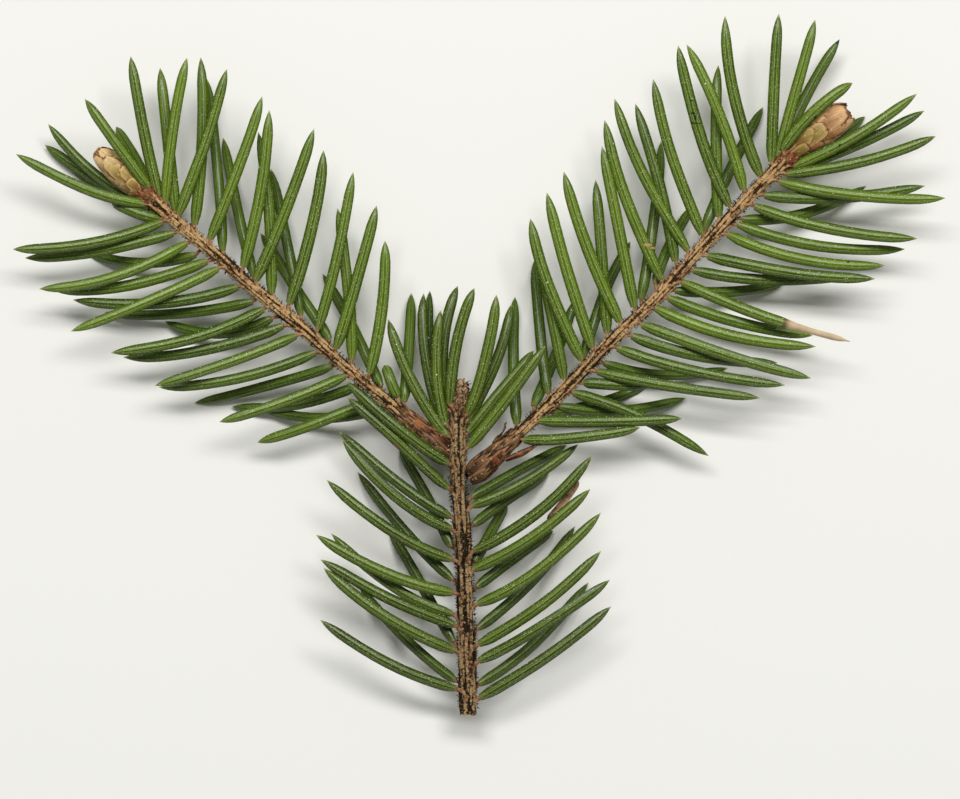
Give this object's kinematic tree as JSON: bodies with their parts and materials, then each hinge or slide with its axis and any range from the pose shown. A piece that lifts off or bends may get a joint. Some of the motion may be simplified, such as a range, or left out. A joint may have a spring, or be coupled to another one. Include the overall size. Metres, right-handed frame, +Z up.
{
  "type": "spruce branch",
  "caption": "Cut spruce branch lying flat, a short stem forking into two side shoots with pointed green needles and scaly buds, for natural decoration.",
  "frame": {"origin": "under the middle of the branch's outline, on the surface it lies on", "axes": "+X towards the tip of the right side shoot, +Y from the cut end towards the growing end, +Z up from the surface"},
  "size_m": [0.0834, 0.0628, 0.0069],
  "materials": {
    "shoot_green": "satin",
    "bud_tan": "satin",
    "bud_brown": "matte"
  },
  "bodies": {
    "root": {"main_stem": "shoot_green", "left_shoot": "shoot_green", "right_shoot": "shoot_green", "left_bud": "bud_tan", "right_bud": "bud_tan", "leader_bud": "bud_brown"}
  },
  "joints": []
}
